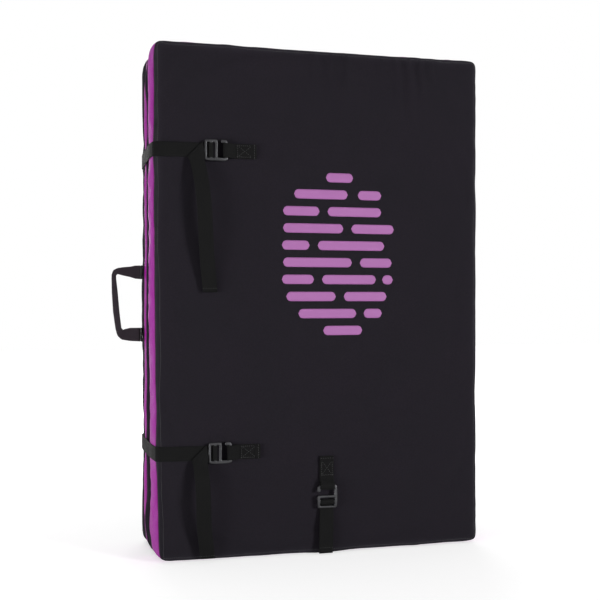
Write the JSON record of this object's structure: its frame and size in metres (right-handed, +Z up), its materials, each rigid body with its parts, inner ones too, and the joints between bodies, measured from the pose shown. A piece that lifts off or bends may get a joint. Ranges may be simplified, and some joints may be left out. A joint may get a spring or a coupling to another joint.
{
  "type": "bouldering crash pad",
  "caption": "Folding bouldering crash pad, closed and standing on its short edge: two foam halves on a cloth hinge, held shut by hook buckles, with shoulder straps and a side handle.",
  "frame": {"origin": "middle of the whole object's box, at the ground", "axes": "+Z up along the pad's long side, +X towards the fold, +Y towards the half with the shoulder straps"},
  "size_m": [0.6678, 0.2636, 0.895],
  "materials": {
    "black_cloth": "heavy black coated nylon, fine plain weave, slight sheen",
    "landing_cloth": "black ballistic nylon, matte",
    "purple_cloth": "purple coated nylon, soft sheen",
    "shoulder_cloth": "black padded cloth with bound edges",
    "webbing": "black 25 mm polypropylene webbing with woven ribs",
    "zip_tape": "black woven zip tape with coil teeth",
    "zip_metal": "black enamelled slider",
    "open_cell_foam": "soft open-cell foam",
    "closed_cell_foam": "firm closed-cell foam",
    "steel": "cast zinc or steel, dull grey with bright edges",
    "black_plastic": "moulded black acetal"
  },
  "bodies": {
    "back_half": {"back_carry_panel": "black_cloth", "back_gusset": "purple_cloth", "back_landing_panel": "landing_cloth", "back_open_cell_foam": "open_cell_foam", "back_closed_cell_foam": "closed_cell_foam", "hinge_cloth": "landing_cloth", "back_zip_tape": "zip_tape", "upper_closure_strap": "webbing", "lower_closure_strap": "webbing", "bottom_closure_strap": "webbing", "handle_upper_end": "webbing", "handle_lower_end": "webbing", "left_shoulder_pad": "shoulder_cloth", "left_shoulder_tab": "webbing", "left_shoulder_webbing": "webbing", "left_shoulder_anchor": "webbing", "right_shoulder_pad": "shoulder_cloth", "right_shoulder_tab": "webbing", "right_shoulder_webbing": "webbing", "right_shoulder_anchor": "webbing", "left_waist_webbing": "webbing", "right_waist_webbing": "webbing", "waist_buckle_female": "black_plastic"},
    "front_half": {"front_carry_panel": "black_cloth", "front_gusset": "purple_cloth", "front_landing_panel": "landing_cloth", "front_open_cell_foam": "open_cell_foam", "front_closed_cell_foam": "closed_cell_foam", "front_zip_tape": "zip_tape", "upper_closure_tab": "webbing", "lower_closure_tab": "webbing", "bottom_closure_tab": "webbing"},
    "upper_hook": {"upper_hook_buckle": "steel"},
    "lower_hook": {"lower_hook_buckle": "steel"},
    "bottom_hook": {"bottom_hook_buckle": "steel"},
    "handle": {"carry_handle": "webbing"},
    "front_slider": {"front_zip_slider": "zip_metal"},
    "back_slider": {"back_zip_slider": "zip_metal"},
    "left_lock": {"left_ladder_lock": "black_plastic"},
    "right_lock": {"right_ladder_lock": "black_plastic"},
    "waist_release": {"waist_buckle_male": "black_plastic"}
  },
  "joints": [
    {"name": "fold_open", "type": "hinge", "parent": "back_half", "child": "front_half", "pos_m": [0.33506, -0.02618, 0], "axis": [0, 0, 1], "range_deg": [0, 180], "deforming": ["hinge_cloth", "upper_closure_strap", "lower_closure_strap", "bottom_closure_strap"]},
    {"name": "upper_hook_tilt", "type": "hinge", "parent": "front_half", "child": "upper_hook", "pos_m": [-0.14294, -0.12628, 0.7035], "axis": [0, 0, 1], "range_deg": [0, 60]},
    {"name": "lower_hook_tilt", "type": "hinge", "parent": "front_half", "child": "lower_hook", "pos_m": [-0.13594, -0.12628, 0.1865], "axis": [0, 0, 1], "range_deg": [0, 60]},
    {"name": "bottom_hook_tilt", "type": "hinge", "parent": "front_half", "child": "bottom_hook", "pos_m": [0.03706, -0.12628, 0.12], "axis": [-1, 0, 0], "range_deg": [0, 60]},
    {"name": "handle_swing", "type": "hinge", "parent": "back_half", "child": "handle", "pos_m": [-0.27371, 0.02882, 0.4415], "axis": [0, 0, 1], "range_deg": [-70, 70]},
    {"name": "front_zip_open", "type": "slide", "parent": "front_half", "child": "front_slider", "axis": [0, 0, 1], "range_m": [0, 0.766]},
    {"name": "back_zip_open", "type": "slide", "parent": "back_half", "child": "back_slider", "axis": [0, 0, 1], "range_m": [0, 0.766]},
    {"name": "left_lock_tilt", "type": "hinge", "parent": "back_half", "child": "left_lock", "pos_m": [-0.05844, 0.08884, 0.3], "axis": [1, 0, 0], "range_deg": [0, 60], "deforming": ["left_shoulder_webbing"]},
    {"name": "right_lock_tilt", "type": "hinge", "parent": "back_half", "child": "right_lock", "pos_m": [0.12156, 0.08884, 0.3], "axis": [1, 0, 0], "range_deg": [0, 60], "deforming": ["right_shoulder_webbing"]},
    {"name": "waist_buckle_release", "type": "slide", "parent": "back_half", "child": "waist_release", "axis": [1, 0, 0], "range_m": [0, 0.03], "deforming": ["right_waist_webbing"]}
  ]
}
